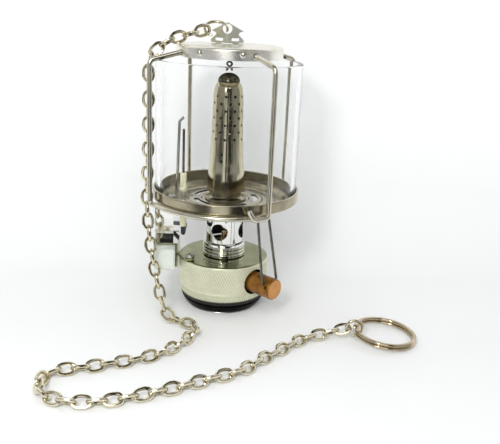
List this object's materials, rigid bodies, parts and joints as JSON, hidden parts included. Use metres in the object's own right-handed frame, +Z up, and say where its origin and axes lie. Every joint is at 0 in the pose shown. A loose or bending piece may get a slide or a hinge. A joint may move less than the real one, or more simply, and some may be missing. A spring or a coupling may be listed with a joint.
{
  "type": "gas lantern",
  "caption": "Compact canister gas lantern with glass globe, perforated burner, push igniter, wire cage and a long hanging chain with a split key ring",
  "frame": {"origin": "On the lantern's axis, at the underside of the base pad, where the lantern stands", "axes": "+Z up along the lantern's axis, -Y towards the picture's viewer, +X to the viewer's right"},
  "size_m": [0.1392, 0.1228, 0.1179],
  "materials": {
    "black_rubber": "matt black rubber",
    "knurled_aluminium": "knurled and satin aluminium",
    "valve_brass": "machined brass",
    "steel": "plain steel",
    "bail_steel": "dark drawn wire",
    "amber_brass": "turned brass with an amber tone",
    "chrome": "polished chrome",
    "dish_steel": "polished pressed sheet",
    "burner_steel": "polished perforated tube",
    "blued_steel": "heat darkened steel",
    "ceramic": "glazed ceramic",
    "white_plastic": "white moulded plastic",
    "black_plastic": "black moulded plastic",
    "glass": "clear glass",
    "cap_steel": "polished sheet",
    "wire_steel": "polished spring wire",
    "nickel": "nickel plate with a warm tone"
  },
  "bodies": {
    "lantern": {"base_pad": "black_rubber", "knurled_collar": "knurled_aluminium", "valve_body": "valve_brass", "canister_seal": "black_rubber", "valve_pin": "steel", "spindle_gland": "valve_brass", "mixer_flange": "chrome", "gas_jet": "valve_brass", "mixing_tube": "chrome", "burner_dish": "dish_steel", "burner_nut": "chrome", "burner_tube": "burner_steel", "burner_cap": "blued_steel", "mantle_hook": "blued_steel", "ceramic_insulator": "ceramic", "electrode_rod": "steel", "ground_electrode": "steel", "igniter_bracket": "chrome", "dish_screw": "steel", "collar_screw": "steel", "piezo_body": "black_plastic", "ignition_lead": "black_plastic"},
    "knob": {"control_knob": "amber_brass", "needle_spindle": "steel"},
    "bail": {"knob_bail": "bail_steel"},
    "button": {"igniter_button": "white_plastic"},
    "globe": {"glass_globe": "glass"},
    "cage": {"top_cap": "cap_steel", "hanger_lug": "cap_steel", "left_wire": "wire_steel", "front_wire": "wire_steel", "right_wire": "wire_steel", "back_wire": "wire_steel", "lug_ring": "nickel", "hanging_chain": "nickel", "ring_link": "nickel", "key_ring": "nickel"}
  },
  "joints": [
    {"name": "valve_turn", "type": "hinge", "parent": "lantern", "child": "knob", "pos_m": [0, 0, 0.0139], "axis": [0.7071, -0.7071, 0], "range_deg": [0, 540]},
    {"name": "bail_fold", "type": "hinge", "parent": "knob", "child": "bail", "pos_m": [0.01909, -0.01909, 0.01663], "axis": [0.7071, 0.7071, 0], "range_deg": [0, 100]},
    {"name": "igniter_press", "type": "slide", "parent": "lantern", "child": "button", "axis": [0, 1, 0], "range_m": [0, 0.0034], "stiffness_N_per_m": 600, "springref_m": -0.0015},
    {"name": "cage_lift", "type": "slide", "parent": "lantern", "child": "cage", "axis": [0, 0, 1], "range_m": [0, 0.12]},
    {"name": "globe_lift", "type": "slide", "parent": "lantern", "child": "globe", "axis": [0, 0, 1], "range_m": [0, 0.06]}
  ],
  "couplings": [
    {"joint": "globe_lift", "follows": "cage_lift", "ratio": 0.5}
  ]
}
